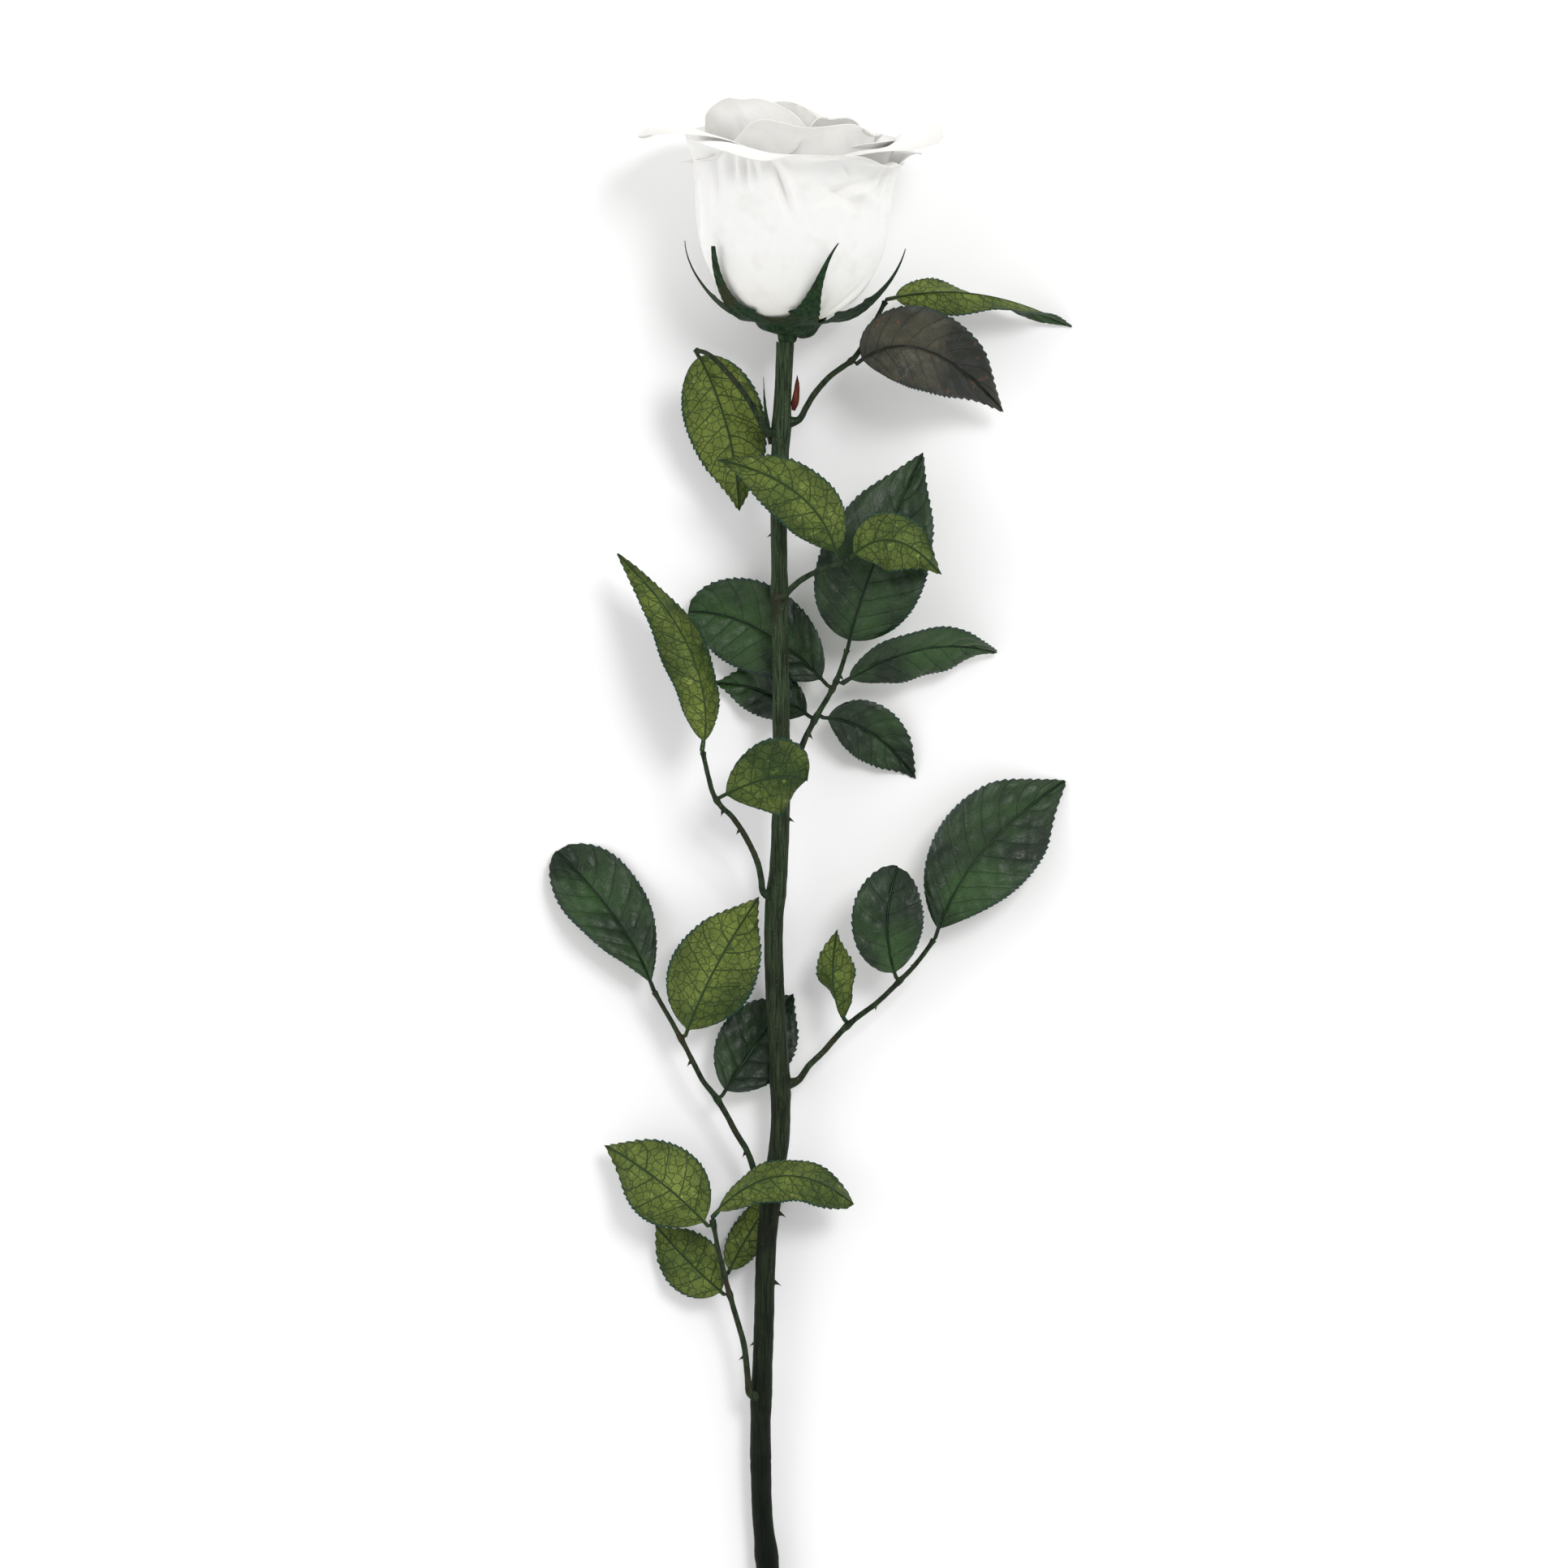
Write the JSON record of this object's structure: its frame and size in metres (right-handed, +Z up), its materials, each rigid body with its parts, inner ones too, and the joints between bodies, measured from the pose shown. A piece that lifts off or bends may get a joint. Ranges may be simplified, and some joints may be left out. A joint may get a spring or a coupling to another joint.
{
  "type": "cut rose stem",
  "caption": "Cut white rose lying on its side: one open bloom on a long pricked cane with compound toothed leaves.",
  "frame": {"origin": "middle of the footprint on the surface the rose lies on", "axes": "+Y along the cane from the cut to the bloom, +Z up from the surface, +X to the bloom's right seen from above"},
  "size_m": [0.1284, 0.3986, 0.0616],
  "materials": {
    "petal": "matte",
    "petal_heart": "matte",
    "sepal": "matte",
    "cane": "satin",
    "leaf_stalk": "satin",
    "axil_bud": "satin",
    "leaf_upper": "satin",
    "leaf_under": "matte"
  },
  "bodies": {
    "root": {"cane": "cane", "receptacle": "sepal", "sepal_1": "sepal", "sepal_2": "sepal", "sepal_3": "sepal", "sepal_4": "sepal", "sepal_5": "sepal", "petal_01": "petal", "petal_02": "petal", "petal_03": "petal", "petal_04": "petal", "petal_05": "petal", "petal_06": "petal", "petal_07": "petal", "petal_08": "petal", "petal_09": "petal", "petal_10": "petal", "petal_11": "petal", "petal_12": "petal", "petal_13": "petal", "petal_14": "petal", "petal_15": "petal", "petal_16": "petal", "petal_17": "petal", "petal_18": "petal", "petal_heart": "petal_heart", "leaf_a_stalk": "leaf_stalk", "leaf_a_leaflet_1": "leaf_upper", "leaf_a_leaflet_2": "leaf_under", "leaf_b_stalk": "leaf_stalk", "leaf_b_leaflet_1": "leaf_under", "leaf_c_stalk": "leaf_stalk", "leaf_c_leaflet_1": "leaf_under", "leaf_c_leaflet_2": "leaf_under", "leaf_d_stalk": "leaf_stalk", "leaf_d_leaflet_1": "leaf_upper", "leaf_d_leaflet_2": "leaf_upper", "leaf_d_leaflet_3": "leaf_upper", "leaf_d_leaflet_4": "leaf_upper", "leaf_d_leaflet_5": "leaf_upper", "leaf_e_stalk": "leaf_stalk", "leaf_e_leaflet_1": "leaf_under", "leaf_e_leaflet_2": "leaf_under", "leaf_f_stalk": "leaf_stalk", "leaf_f_leaflet_1": "leaf_upper", "leaf_f_leaflet_2": "leaf_upper", "leaf_f_leaflet_3": "leaf_under", "leaf_g_stalk": "leaf_stalk", "leaf_g_leaflet_1": "leaf_upper", "leaf_g_leaflet_2": "leaf_under", "leaf_g_leaflet_3": "leaf_upper", "leaf_h_stalk": "leaf_stalk", "leaf_h_leaflet_1": "leaf_under", "leaf_h_leaflet_2": "leaf_under", "leaf_h_leaflet_3": "leaf_under", "leaf_h_leaflet_4": "leaf_under", "axil_bud": "axil_bud", "scale_leaf": "cane"}
  },
  "joints": []
}
